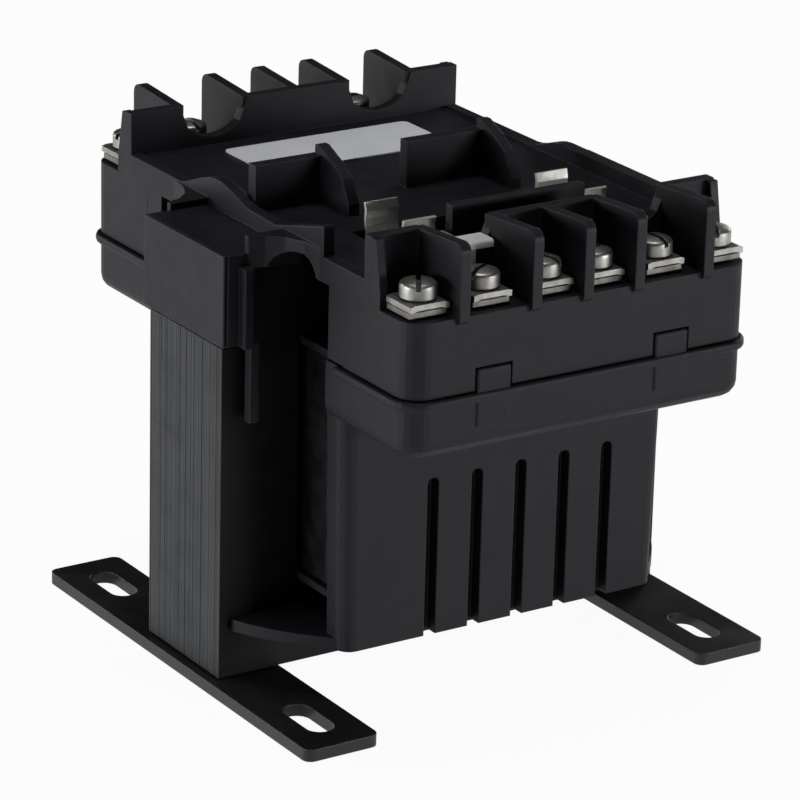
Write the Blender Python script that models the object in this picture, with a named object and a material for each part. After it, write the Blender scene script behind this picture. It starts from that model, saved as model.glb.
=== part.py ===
"""Control transformer with front and back terminal rows, ribbed coil shrouds and fuse clips."""
import math

import bmesh
import bpy
from mathutils import Matrix

MM = 0.001

# Gap left between two pieces that touch in the real transformer.
GAP = 0.3 * MM

# How far a cutter runs past the body it cuts, and how far a joined feature reaches into its body.
CUT = 5.0 * MM
SINK = 1.0 * MM

# Mounting straps: they run front to back under the two outer legs of the core.
STRAP_THICKNESS = 2.1 * MM
STRAP_WIDTH = 13.5 * MM
STRAP_LENGTH = 85.0 * MM
STRAP_INSET = 5.0 * MM
STRAP_CORNER = 1.5 * MM
STRAP_EDGE = 0.25 * MM
SLOT_INSET = 10.75 * MM
SLOT_WIDTH = 4.8 * MM
SLOT_LENGTH = 11.5 * MM

# Laminated core, E sheets below and I sheets above, stacked along Y a little in front of the middle.
CORE_WIDTH = 86.2 * MM
CORE_HEIGHT = 69.4 * MM
CORE_STACK = 22.8 * MM
CORE_SHIFT = -0.7 * MM
CORE_EDGE = 0.25 * MM
TOP_YOKE = 12.6 * MM
CORE_JOINT = 0.2 * MM

# Bobbin and windings round the centre leg; the outer winding takes the room that is left.
BOBBIN_WALL = 1.2 * MM
BOBBIN_ROUND = 1.2 * MM
FLANGE_PROUD = 0.2 * MM
FLANGE_ROUND = 2.0 * MM
WINDING_SHARE = 0.525
WINDING_ROUND = 1.3 * MM
WRAP_THICKNESS = 0.8 * MM
COIL_CLEARANCE = 0.95 * MM

# Terminal blocks at the front and at the back.
BLOCK_WIDTH = 64.6 * MM
BLOCK_DEPTH = 99.2 * MM
BLOCK_REACH = 18.8 * MM
BLOCK_CORNER = 4.0 * MM
BLOCK_WALL = 2.0 * MM
PARTING_HEIGHT = 59.9 * MM
TRAY_HEIGHT = 10.0 * MM
TRAY_EDGE = 2.6 * MM
TRAY_BEAD = 0.9 * MM
BEAD_HEIGHT = 1.5 * MM
BEAD_END = 3.0 * MM
DECK_HEIGHT = 72.4 * MM

# Snap tongues of the tray, standing in notches of the terminal board.
TONGUE_X = 16.8 * MM
TONGUE_WIDTH = 6.3 * MM
TONGUE_HEIGHT = 3.6 * MM
TONGUE_FOOT = 6.0 * MM
TONGUE_PROUD = 0.3 * MM
TONGUE_THICKNESS = 1.5 * MM

# Barriers between the terminals and the wall behind them.
TERMINAL_PITCH = 9.7 * MM
END_POCKET = 9.3 * MM
BARRIER_THICKNESS = 1.8 * MM
BARRIER_TOP = 84.3 * MM
BARRIER_RISE = 0.8 * MM
BARRIER_FOOT = 71.3 * MM
BARRIER_PROUD = 0.8 * MM
BARRIER_CORNER = 1.6 * MM
BARRIER_CHAMFER = 0.7 * MM
TERMINAL_ROOM = 13.3 * MM
INNER_WALL_THICKNESS = 2.0 * MM
INNER_WALL_TOP = 83.5 * MM
VALLEY_DEPTH = 6.0 * MM
CHEEK_THICKNESS = 1.5 * MM
CHEEK_STEP = 3.0 * MM
CHEEK_SLOPE = 1.4 * MM

# Middle of the terminal board.
FLOOR_TOP = 76.0 * MM
FLOOR_THICKNESS = 1.8 * MM
RIM_TOP = 78.8 * MM
RIM_LOW = 76.4 * MM
RIM_STEP = 0.6 * MM
RIM_RAMP_START = 11.0 * MM
RIM_RAMP_LENGTH = 10.0 * MM
RIM_END = 26.0 * MM
LEFT_RIM_TOP = 77.4 * MM
HUMP_RISE = 3.0 * MM
HUMP_Y = 8.5 * MM
HUMP_LENGTH = 23.0 * MM
LEFT_FIN_START = 10.0 * MM
LEFT_FIN_END = 24.4 * MM
LEFT_FIN_RISE = 3.8 * MM
LEFT_RIM_DROP = 1.2 * MM
TALL_TOP = 85.4 * MM
TALL_THICKNESS = 2.2 * MM
TALL_LEFT_END = 15.7 * MM
TALL_LEFT_WIDTH = 14.3 * MM
TALL_RIGHT_END = 15.6 * MM
TALL_RIGHT_WIDTH = 16.8 * MM
TALL_STEP = 1.4 * MM
FIN_THICKNESS = 2.0 * MM
FIN_REACH = 8.5 * MM
FIN_FOOT = 2.0 * MM
GUARD_WIDTH = 25.2 * MM
GUARD_TOP = 83.3 * MM
GUARD_THICKNESS = 1.8 * MM
GUARD_SETBACK = 1.0 * MM
TROUGH_CLEARANCE = 1.5 * MM
TROUGH_END = 2.15 * MM
TROUGH_FLOOR = 72.0 * MM
TROUGH_WALL = 1.4 * MM

# Hoods over the outer legs of the core, their flanges with a latch rib, and the curved webs.
HOOD_WALL = 1.0 * MM
HOOD_BOTTOM = 59.5 * MM
HOOD_LEFT_RISE = 1.7 * MM
HOOD_EDGE = 0.4 * MM
HOOD_SEAT = 2.0 * MM
FLANGE_WIDTH = 3.9 * MM
RIB_WIDTH = 1.6 * MM
RIB_REACH = 1.9 * MM
RIB_STEP = 1.1 * MM
RIB_BOTTOM = 47.0 * MM
WEB_REACH = 7.0 * MM
WEB_LENGTH = 10.0 * MM
WEB_HEIGHT = 1.6 * MM
WEB_LEFT_RISE = 3.6 * MM
WEB_BACK_RISE = 2.2 * MM
WEB_LEFT_THICKNESS = 2.0 * MM
ARCH_FOOT = 0.8 * MM
ARCH_RADIUS = 4.0 * MM
ARCH_MARGIN = 0.3 * MM
SKIRT_END = 26.2 * MM

# Ribbed shroud over the coil.
SHROUD_INSET = 1.8 * MM
SHROUD_FLARE = 0.8 * MM
SHROUD_CLEARANCE = 1.9 * MM
SHROUD_WALL = 3.4 * MM
SHROUD_SIDE = 1.7 * MM
SHROUD_RETURN = 1.6 * MM
SHROUD_BOTTOM = 10.7 * MM
SHROUD_CORNER = 2.4 * MM
GROOVE_COUNT = 5
GROOVE_PITCH = 8.45 * MM
GROOVE_OFFSET = 2.75 * MM
GROOVE_WIDTH = 2.2 * MM
GROOVE_DEPTH = 2.3 * MM
GROOVE_TOP = 37.9 * MM
GROOVE_ROUND = 0.9 * MM
SILL_THICKNESS = 2.0 * MM
SILL_INSET = 2.1 * MM

# Terminals.
TERMINAL_SETBACK = 5.0 * MM
PLATE_CLEARANCE = 0.5 * MM
PLATE_SETBACK = 2.0 * MM
END_PLATE_LENGTH = 6.5 * MM
PLATE_THICKNESS = 1.1 * MM
PLATE_EDGE = 0.15 * MM
SADDLE_CLEARANCE = 0.45 * MM
SADDLE_THICKNESS = 0.9 * MM
SADDLE_LIP = 0.5 * MM
SCREW_RADIUS = 1.75 * MM
SCREW_LENGTH = 7.0 * MM
SCREW_CLEARANCE = 0.3 * MM
HEAD_RADIUS = 2.95 * MM
HEAD_HEIGHT = 2.8 * MM
HEAD_SLOT = 0.8 * MM

# Fuse clips, made for a 10.3 mm fuse that is not fitted.
FUSE_DIAMETER = 10.3 * MM
FUSE_ROOM = 2.5 * MM
CLIP_WIDTH = 6.0 * MM
CLIP_THICKNESS = 0.6 * MM
CLIP_WRAP = 14.0
CLIP_LIP = 12.0
LINK_INSET = 0.4 * MM
LINK_CLEARANCE = 1.2 * MM

# Values worked out from the sizes above.
LEG = CORE_WIDTH / 6.0
CORE_HALF = CORE_WIDTH / 2.0
CORE_FACE = CORE_STACK / 2.0
CORE_BOTTOM = STRAP_THICKNESS + GAP
CORE_TOP = CORE_BOTTOM + CORE_HEIGHT
WINDOW_BOTTOM = CORE_BOTTOM + LEG
WINDOW_TOP = CORE_TOP - TOP_YOKE - CORE_JOINT
STRAP_SPACING = CORE_WIDTH - 2.0 * STRAP_INSET
SLOT_SPACING = STRAP_LENGTH - 2.0 * SLOT_INSET
WINDING_ROOM = LEG - 5.0 * GAP - BOBBIN_WALL - WRAP_THICKNESS - COIL_CLEARANCE
WINDING_INNER = WINDING_ROOM * WINDING_SHARE
WINDING_OUTER = WINDING_ROOM - WINDING_INNER
COIL_DEPTH = CORE_FACE + 4.0 * GAP + BOBBIN_WALL + WINDING_ROOM + WRAP_THICKNESS
HALF_W = BLOCK_WIDTH / 2.0
HALF_D = BLOCK_DEPTH / 2.0
BLOCK_INNER = HALF_D - BLOCK_REACH
TRAY_INNER = COIL_DEPTH + FLANGE_PROUD + abs(CORE_SHIFT) + GAP
SHROUD_HALF_WIDTH = HALF_W - SHROUD_INSET
SHROUD_FACE = COIL_DEPTH + SHROUD_CLEARANCE + SHROUD_WALL
SILL_HALF_WIDTH = CORE_HALF - SILL_INSET
SILL_BACK = CORE_FACE + abs(CORE_SHIFT) + GAP
BARRIER_OUTER_X = HALF_W - END_POCKET
BARRIER_X = (-BARRIER_OUTER_X, -TERMINAL_PITCH, 0.0, TERMINAL_PITCH, BARRIER_OUTER_X)
MIDDLE_TERMINAL_X = (TERMINAL_PITCH + BARRIER_OUTER_X) / 2.0
OUTER_TERMINAL_X = BARRIER_OUTER_X + TERMINAL_PITCH / 2.0
TERMINAL_X = (-OUTER_TERMINAL_X, -MIDDLE_TERMINAL_X, -TERMINAL_PITCH / 2.0,
              TERMINAL_PITCH / 2.0, MIDDLE_TERMINAL_X, OUTER_TERMINAL_X)
TERMINAL_Y = HALF_D - TERMINAL_SETBACK
INNER_WALL_Y = HALF_D - TERMINAL_ROOM
POCKET_WIDTH = TERMINAL_PITCH - BARRIER_THICKNESS
PLATE_WIDTH = POCKET_WIDTH - 2.0 * PLATE_CLEARANCE
SADDLE_SIZE = POCKET_WIDTH - 2.0 * SADDLE_CLEARANCE
PLATE_BOTTOM = DECK_HEIGHT + GAP
SADDLE_BOTTOM = PLATE_BOTTOM + PLATE_THICKNESS + GAP
HEAD_BOTTOM = SADDLE_BOTTOM + SADDLE_THICKNESS + GAP
SCREW_END = HEAD_BOTTOM - SCREW_LENGTH
FLOOR_BOTTOM = FLOOR_TOP - FLOOR_THICKNESS
MIDDLE_END = INNER_WALL_Y + INNER_WALL_THICKNESS / 2.0
TROUGH_WIDTH = FUSE_DIAMETER + FUSE_ROOM
TROUGH_Y = CORE_FACE + abs(CORE_SHIFT) + TROUGH_CLEARANCE + TROUGH_WALL + TROUGH_WIDTH / 2.0
TROUGH_LENGTH = 2.0 * (MIDDLE_TERMINAL_X + CLIP_WIDTH / 2.0 + TROUGH_END)
HOOD_HOLLOW = CORE_TOP + GAP
HOOD_TOP = HOOD_HOLLOW + HOOD_WALL
HOOD_FRONT = CORE_FACE + GAP + HOOD_WALL
LINK_HEIGHT = INNER_WALL_TOP - VALLEY_DEPTH + LINK_CLEARANCE


def clear_scene():
    """Remove every object that is in the file at the start."""
    for item in list(bpy.data.objects):
        bpy.data.objects.remove(item, do_unlink=True)


def make_material(name, color, metallic, roughness):
    """Make one Principled material."""
    mat = bpy.data.materials.new(name)
    mat.use_nodes = True
    shader = mat.node_tree.nodes["Principled BSDF"]
    shader.inputs["Base Color"].default_value = (color[0], color[1], color[2], 1.0)
    shader.inputs["Metallic"].default_value = metallic
    shader.inputs["Roughness"].default_value = roughness
    mat.diffuse_color = (color[0], color[1], color[2], 1.0)
    return mat


def new_object(name, bm):
    """Turn a bmesh into a linked object."""
    bmesh.ops.recalc_face_normals(bm, faces=bm.faces)
    mesh = bpy.data.meshes.new(name)
    bm.to_mesh(mesh)
    bm.free()
    obj = bpy.data.objects.new(name, mesh)
    bpy.context.scene.collection.objects.link(obj)
    return obj


def box(name, x0, x1, y0, y1, z0, z1):
    """Make a box between two corners."""
    bm = bmesh.new()
    bmesh.ops.create_cube(bm, size=1.0)
    for v in bm.verts:
        v.co.x = x0 if v.co.x < 0 else x1
        v.co.y = y0 if v.co.y < 0 else y1
        v.co.z = z0 if v.co.z < 0 else z1
    return new_object(name, bm)


def prism(name, points, low, high, axis):
    """Extrude a flat outline along one axis; the outline uses the other two axes in order."""
    bm = bmesh.new()
    rings = []
    for level in (low, high):
        ring = []
        for a, b in points:
            if axis == "X":
                co = (level, a, b)
            elif axis == "Y":
                co = (a, level, b)
            else:
                co = (a, b, level)
            ring.append(bm.verts.new(co))
        rings.append(ring)
    count = len(points)
    bm.faces.new(rings[0])
    bm.faces.new(rings[1])
    for i in range(count):
        j = (i + 1) % count
        bm.faces.new((rings[0][i], rings[0][j], rings[1][j], rings[1][i]))
    return new_object(name, bm)


def cylinder(name, x, y, z0, z1, radius, segments):
    """Make an upright cylinder."""
    points = []
    for i in range(segments):
        angle = 2.0 * math.pi * i / segments
        points.append((x + radius * math.cos(angle), y + radius * math.sin(angle)))
    return prism(name, points, z0, z1, "Z")


def rounded_outline(x0, x1, y0, y1, radii, segments):
    """Outline of a rectangle with a radius at each corner, starting at x0, y0."""
    corners = ((x0, y0, 2), (x1, y0, 3), (x1, y1, 0), (x0, y1, 1))
    points = []
    for (cx, cy, turns), r in zip(corners, radii):
        if r <= 0.0:
            points.append((cx, cy))
            continue
        mx = cx + r if cx == x0 else cx - r
        my = cy + r if cy == y0 else cy - r
        for i in range(segments + 1):
            angle = math.pi / 2.0 * (turns + i / segments)
            points.append((mx + r * math.cos(angle), my + r * math.sin(angle)))
    return points


def ring(name, inner, outer, z0, z1, r_in, r_out, segments):
    """Make a rounded rectangular tube; inner and outer are half sizes in X and Y."""
    bm = bmesh.new()
    loops = []
    for half, radius in ((inner, r_in), (outer, r_out)):
        outline = rounded_outline(-half[0], half[0], -half[1], half[1], (radius,) * 4, segments)
        for z in (z0, z1):
            loops.append([bm.verts.new((p[0], p[1], z)) for p in outline])
    in_low, in_high, out_low, out_high = loops
    count = len(in_low)
    for i in range(count):
        j = (i + 1) % count
        bm.faces.new((in_low[i], in_low[j], in_high[j], in_high[i]))
        bm.faces.new((out_low[i], out_low[j], out_high[j], out_high[i]))
        bm.faces.new((in_low[i], in_low[j], out_low[j], out_low[i]))
        bm.faces.new((in_high[i], in_high[j], out_high[j], out_high[i]))
    return new_object(name, bm)


def apply_modifiers(obj):
    """Replace the mesh by its evaluated form."""
    depsgraph = bpy.context.evaluated_depsgraph_get()
    mesh = bpy.data.meshes.new_from_object(obj.evaluated_get(depsgraph))
    obj.modifiers.clear()
    obj.data = mesh


def combine(obj, others, operation):
    """Join or cut a body with helper bodies, one after the other."""
    for other in others:
        mod = obj.modifiers.new("step", "BOOLEAN")
        mod.operation = operation
        mod.solver = "EXACT"
        mod.object = other
        apply_modifiers(obj)
        bpy.data.objects.remove(other, do_unlink=True)
    return obj


def unite(obj, others):
    """Fuse helper bodies into one."""
    return combine(obj, others, "UNION")


def subtract(obj, others):
    """Cut helper bodies away."""
    return combine(obj, others, "DIFFERENCE")


def bevel(obj, width, segments, angle=40.0):
    """Round the sharp edges a little."""
    mod = obj.modifiers.new("edges", "BEVEL")
    mod.width = width
    mod.segments = segments
    mod.limit_method = "ANGLE"
    mod.angle_limit = math.radians(angle)
    mod.use_clamp_overlap = True
    apply_modifiers(obj)
    return obj


def tidy_mesh(obj):
    """Merge doubled points and dissolve flat leftovers of the joins."""
    bm = bmesh.new()
    bm.from_mesh(obj.data)
    bmesh.ops.remove_doubles(bm, verts=bm.verts, dist=0.00001)
    bmesh.ops.dissolve_limit(bm, angle_limit=math.radians(0.5), verts=bm.verts, edges=bm.edges)
    bmesh.ops.triangulate(bm, faces=[f for f in bm.faces if len(f.verts) > 4])
    bm.to_mesh(obj.data)
    bm.free()
    return obj


def turn_half(obj):
    """Turn a body half a turn about the upright axis."""
    obj.data.transform(Matrix.Rotation(math.pi, 4, "Z"))
    return obj


def finish(obj, name, material, sharp=35.0, origin=None):
    """Name a finished body, give it its material and shade it."""
    obj.name = name
    obj.data.name = name
    obj.data.materials.clear()
    obj.data.materials.append(material)
    if origin is not None:
        obj.data.transform(Matrix.Translation((-origin[0], -origin[1], -origin[2])))
        obj.location = origin
    for polygon in obj.data.polygons:
        polygon.use_smooth = True
    obj.data.set_sharp_from_angle(angle=math.radians(sharp))
    return obj


def slot_cutter(x, y):
    """Obround cutter for one mounting slot."""
    half = SLOT_LENGTH / 2.0
    side = SLOT_WIDTH / 2.0
    outline = rounded_outline(x - side, x + side, y - half, y + half, (side * 0.999,) * 4, 8)
    return prism("slot", outline, -CUT, STRAP_THICKNESS + CUT, "Z")


def build_strap(name, side, material):
    """Mounting strap with a slot at each end."""
    x = side * STRAP_SPACING / 2.0
    half = STRAP_WIDTH / 2.0
    end = STRAP_LENGTH / 2.0
    outline = rounded_outline(x - half, x + half, -end, end, (STRAP_CORNER,) * 4, 5)
    body = prism("strap", outline, 0.0, STRAP_THICKNESS, "Z")
    cutters = [slot_cutter(x, sign * SLOT_SPACING / 2.0) for sign in (-1, 1)]
    subtract(body, cutters)
    bevel(body, STRAP_EDGE, 2)
    finish(body, name, material)


def shift_to_core(obj):
    """Move a body from the middle to the place of the core."""
    obj.data.transform(Matrix.Translation((0.0, CORE_SHIFT, 0.0)))
    return obj


def build_core(material):
    """E sheets with their legs up and I sheets across the top, both stacked along Y."""
    half = CORE_HALF
    high = box("core_i", -half, half, -CORE_FACE, CORE_FACE, WINDOW_TOP + CORE_JOINT, CORE_TOP)
    bevel(high, CORE_EDGE, 1)
    finish(shift_to_core(high), "core_i_stack", material)
    outline = [
        (-half, CORE_BOTTOM), (half, CORE_BOTTOM), (half, WINDOW_TOP), (half - LEG, WINDOW_TOP),
        (half - LEG, WINDOW_BOTTOM), (LEG, WINDOW_BOTTOM), (LEG, WINDOW_TOP), (-LEG, WINDOW_TOP),
        (-LEG, WINDOW_BOTTOM), (-half + LEG, WINDOW_BOTTOM), (-half + LEG, WINDOW_TOP),
        (-half, WINDOW_TOP),
    ]
    body = prism("core_e", outline, -CORE_FACE, CORE_FACE, "Y")
    bevel(body, CORE_EDGE, 1)
    finish(shift_to_core(body), "core_e_stack", material)


def build_bobbin(material):
    """Coil former: a tube round the centre leg with a flange at each end."""
    tube_in = (LEG + GAP, CORE_FACE + GAP)
    tube_out = (tube_in[0] + BOBBIN_WALL, tube_in[1] + BOBBIN_WALL)
    sunk = (tube_in[0] + BOBBIN_WALL * 0.4, tube_in[1] + BOBBIN_WALL * 0.4)
    flange = (CORE_HALF - LEG - GAP, COIL_DEPTH + FLANGE_PROUD)
    low = WINDOW_BOTTOM + GAP
    high = WINDOW_TOP + CORE_JOINT - GAP
    body = ring("bobbin", tube_in, tube_out, low, high, BOBBIN_ROUND / 3.0, BOBBIN_ROUND, 3)
    parts = []
    for z0 in (low, high - BOBBIN_WALL):
        parts.append(ring("flange", sunk, flange, z0, z0 + BOBBIN_WALL, BOBBIN_ROUND / 2.0, FLANGE_ROUND, 4))
    unite(body, parts)
    finish(shift_to_core(tidy_mesh(body)), "bobbin", material)


def build_windings(copper, tape):
    """Two windings one round the other, and the dark tape wrap outside them."""
    low = WINDOW_BOTTOM + 2.0 * GAP + BOBBIN_WALL
    high = WINDOW_TOP + CORE_JOINT - 2.0 * GAP - BOBBIN_WALL
    x = LEG + 2.0 * GAP + BOBBIN_WALL
    y = CORE_FACE + 2.0 * GAP + BOBBIN_WALL
    layers = (("winding_inner", WINDING_INNER, copper), ("winding_outer", WINDING_OUTER, copper),
              ("coil_wrap", WRAP_THICKNESS, tape))
    corner = WINDING_ROUND
    for name, thickness, material in layers:
        outer = corner + thickness * 0.4
        body = ring(name, (x, y), (x + thickness, y + thickness), low, high, corner, outer, 6)
        finish(shift_to_core(body), name, material)
        x += thickness + GAP
        y += thickness + GAP
        corner = outer + GAP


def tongue_box(name, x, low, high, clear):
    """Box of one snap tongue on the front of the tray, grown by a clearance."""
    half = TONGUE_WIDTH / 2.0 + clear
    front = -HALF_D - TONGUE_PROUD - clear
    return box(name, x - half, x + half, front, front + TONGUE_THICKNESS + 2.0 * clear, low, high)


def build_tray():
    """Open tray under the front terminal block, wider than the ribbed part."""
    top = PARTING_HEIGHT - GAP / 2.0
    bottom = PARTING_HEIGHT - TRAY_HEIGHT
    outline = rounded_outline(-HALF_W, HALF_W, -HALF_D, -TRAY_INNER,
                              (BLOCK_CORNER, BLOCK_CORNER, 0.0, 0.0), 6)
    body = prism("tray", outline, bottom, top, "Z")
    bm = bmesh.new()
    bm.from_mesh(body.data)
    bm.edges.ensure_lookup_table()
    rim = [e for e in bm.edges
           if all(abs(v.co.z - bottom) < 1e-6 for v in e.verts)
           and not all(abs(v.co.y + TRAY_INNER) < 1e-6 for v in e.verts)]
    bmesh.ops.bevel(bm, geom=rim, offset=TRAY_EDGE, segments=4, profile=0.5, affect="EDGES")
    bm.to_mesh(body.data)
    bm.free()
    bead = prism("bead", rounded_outline(-HALF_W - TRAY_BEAD, HALF_W + TRAY_BEAD,
                                         -HALF_D - TRAY_BEAD, -TRAY_INNER - BEAD_END,
                                         (BLOCK_CORNER + TRAY_BEAD,) * 2 + (0.0, 0.0), 6),
                 top - BEAD_HEIGHT, top, "Z")
    bevel(bead, TRAY_BEAD / 2.0, 2)
    inside = prism("inside", rounded_outline(-HALF_W + BLOCK_WALL, HALF_W - BLOCK_WALL,
                                             -HALF_D + BLOCK_WALL, -TRAY_INNER + CUT,
                                             (BLOCK_CORNER - BLOCK_WALL,) * 2 + (0.0, 0.0), 4),
                   bottom + BLOCK_WALL, top + CUT, "Z")
    tongues = []
    for x in (-TONGUE_X, TONGUE_X):
        tongue = tongue_box("tongue", x, PARTING_HEIGHT - TONGUE_FOOT, PARTING_HEIGHT + TONGUE_HEIGHT, 0.0)
        tongues.append(bevel(tongue, TONGUE_THICKNESS / 4.0, 2))
    unite(body, [bead])
    subtract(body, [inside])
    unite(body, tongues)
    return body


def build_ribbed_wall():
    """Front wall of the shroud with short returns at its sides."""
    top = PARTING_HEIGHT - TRAY_HEIGHT + BLOCK_WALL - 0.2 * MM
    back = -SHROUD_FACE + SHROUD_WALL + SHROUD_RETURN
    half = SHROUD_HALF_WIDTH
    outline = rounded_outline(-half, half, -SHROUD_FACE, back, (SHROUD_CORNER,) * 2 + (0.0, 0.0), 4)
    body = prism("wall", outline, SHROUD_BOTTOM, top, "Z")
    inner = half - SHROUD_SIDE
    hollow = box("hollow", -inner, inner, -SHROUD_FACE + SHROUD_WALL, back + CUT,
                 SHROUD_BOTTOM + SILL_THICKNESS, top + CUT)
    subtract(body, [hollow])
    for v in body.data.vertices:
        share = (v.co.z - SHROUD_BOTTOM) / (top - SHROUD_BOTTOM)
        v.co.x += math.copysign(SHROUD_FLARE * share, v.co.x)
    return body


def build_grooves():
    """Cutters of the grooves, open at the bottom."""
    cutters = []
    half = GROOVE_WIDTH / 2.0
    for i in range(GROOVE_COUNT):
        x = GROOVE_OFFSET + (i - (GROOVE_COUNT - 1) / 2.0) * GROOVE_PITCH
        outline = rounded_outline(x - half, x + half, SHROUD_BOTTOM - CUT, GROOVE_TOP,
                                  (0.0, 0.0, GROOVE_ROUND, GROOVE_ROUND), 3)
        cutters.append(prism("groove", outline, -SHROUD_FACE - CUT, -SHROUD_FACE + GROOVE_DEPTH, "Y"))
    return cutters


def build_sill():
    """Shelf under the coil, reaching out in front of the lower yoke with curved ends."""
    back = -SILL_BACK
    front = -SHROUD_FACE + SHROUD_WALL / 5.0
    inner = SHROUD_HALF_WIDTH - SHROUD_SIDE
    curve = []
    for i in range(8):
        t = math.pi / 2.0 * i / 7.0
        x = inner + (SILL_HALF_WIDTH - inner) * (0.35 * (1.0 - math.sin(t)) + 0.65 * math.cos(t))
        y = back + (front - back) * (0.05 + 0.95 * (0.35 * (1.0 - math.cos(t)) + 0.65 * math.sin(t)))
        curve.append((x, y))
    outline = [(SILL_HALF_WIDTH, back)] + curve
    outline += [(-x, y) for x, y in reversed(curve)] + [(-SILL_HALF_WIDTH, back)]
    return prism("sill", outline, SHROUD_BOTTOM, SHROUD_BOTTOM + SILL_THICKNESS, "Z")


def build_shroud(name, turned, material):
    """One coil shroud: ribbed wall, sill and terminal tray."""
    body = build_tray()
    unite(body, [build_ribbed_wall(), build_sill()])
    inner = SHROUD_HALF_WIDTH - SHROUD_SIDE
    clear = box("clear", -inner, inner, -SHROUD_FACE + SHROUD_WALL, 0.0,
                SHROUD_BOTTOM + SILL_THICKNESS, PARTING_HEIGHT + CUT)
    subtract(body, [clear] + build_grooves())
    tidy_mesh(body)
    if turned:
        turn_half(body)
    finish(body, name, material)


def build_block_shell():
    """Upper half of the front terminal block as a box open below."""
    low = PARTING_HEIGHT + GAP / 2.0
    outline = rounded_outline(-HALF_W, HALF_W, -HALF_D, -BLOCK_INNER,
                              (BLOCK_CORNER, BLOCK_CORNER, 0.0, 0.0), 6)
    body = prism("block", outline, low, DECK_HEIGHT, "Z")
    inside = prism("inside", rounded_outline(-HALF_W + BLOCK_WALL, HALF_W - BLOCK_WALL,
                                             -HALF_D + BLOCK_WALL, -BLOCK_INNER - BLOCK_WALL,
                                             (BLOCK_CORNER - BLOCK_WALL,) * 2 + (0.0, 0.0), 4),
                   low - CUT, DECK_HEIGHT - BLOCK_WALL, "Z")
    subtract(body, [inside])
    return body


def barrier_outline():
    """Side outline of one barrier in Y and Z: a foot down the face and a rounded top corner."""
    front = -HALF_D - BARRIER_PROUD
    back = -INNER_WALL_Y - INNER_WALL_THICKNESS / 5.0
    r = BARRIER_CORNER
    points = [(back, BARRIER_FOOT), (front + BARRIER_CHAMFER, BARRIER_FOOT),
              (front, BARRIER_FOOT + BARRIER_CHAMFER)]
    for i in range(5):
        angle = math.pi * (1.0 - i / 8.0)
        points.append((front + r + r * math.cos(angle), BARRIER_TOP - r + r * math.sin(angle)))
    points.append((back, BARRIER_TOP - BARRIER_RISE))
    return points


def inner_wall_outline():
    """Front outline of the wall behind the terminals in X and Z, with dips for the fuse links."""
    low = DECK_HEIGHT - SINK
    points = [(-HALF_W, low), (HALF_W, low), (HALF_W, INNER_WALL_TOP)]
    for x0, x1 in ((BARRIER_X[4], BARRIER_X[3]), (BARRIER_X[1], BARRIER_X[0])):
        for i in range(9):
            t = i / 8.0
            z = INNER_WALL_TOP - VALLEY_DEPTH * math.sin(math.pi * t) ** 0.4
            points.append((x0 + (x1 - x0) * t, z))
    points.append((-HALF_W, INNER_WALL_TOP))
    return points


def cheek_outline():
    """Outline in Y and Z of the small cheek at each end of the wall behind the terminals."""
    y = -INNER_WALL_Y - INNER_WALL_THICKNESS / 4.0
    front = -HALF_D + PLATE_SETBACK + END_PLATE_LENGTH + GAP
    low = DECK_HEIGHT - SINK
    top = INNER_WALL_TOP - 0.2 * MM
    return [(y, low), (front, low), (front, DECK_HEIGHT + CHEEK_STEP), (front + CHEEK_SLOPE, top), (y, top)]


def build_terminal_half():
    """Front half of the terminal board: block, barriers, wall, notches and screw holes."""
    body = build_block_shell()
    wall_back = -INNER_WALL_Y
    wall = prism("wall", inner_wall_outline(), wall_back - INNER_WALL_THICKNESS, wall_back, "Y")
    barriers = []
    for x in BARRIER_X:
        half = BARRIER_THICKNESS / 2.0
        barriers.append(prism("barrier", barrier_outline(), x - half, x + half, "X"))
    cheeks = []
    for side in (-1, 1):
        inner = side * (HALF_W - CHEEK_THICKNESS)
        outer = side * (HALF_W - 0.02 * MM)
        cheeks.append(prism("cheek", cheek_outline(), min(inner, outer), max(inner, outer), "X"))
    unite(body, [wall] + barriers + cheeks)
    cutters = []
    for x in (-TONGUE_X, TONGUE_X):
        notch = tongue_box("notch", x, PARTING_HEIGHT - CUT, PARTING_HEIGHT + TONGUE_HEIGHT + GAP, GAP)
        cutters.append(notch)
    for x in TERMINAL_X:
        cutters.append(cylinder("hole", x, -TERMINAL_Y, SCREW_END - SINK, DECK_HEIGHT + SINK,
                                SCREW_RADIUS + SCREW_CLEARANCE, 16))
    subtract(body, cutters)
    return body


def right_rim_outline():
    """Outline in Y and Z of the right side wall of the middle part, low at the back."""
    points = [(-MIDDLE_END, HOOD_HOLLOW), (MIDDLE_END, HOOD_HOLLOW), (MIDDLE_END, RIM_LOW)]
    for i in range(7):
        t = i / 6.0
        z = RIM_LOW + (RIM_TOP - RIM_LOW) * (3.0 * t * t - 2.0 * t * t * t)
        points.append((RIM_RAMP_START - RIM_RAMP_LENGTH * t, z))
    points += [(-RIM_END, RIM_TOP), (-RIM_END - RIM_STEP, RIM_TOP - RIM_STEP),
               (-MIDDLE_END, RIM_TOP - RIM_STEP)]
    return points


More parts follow.
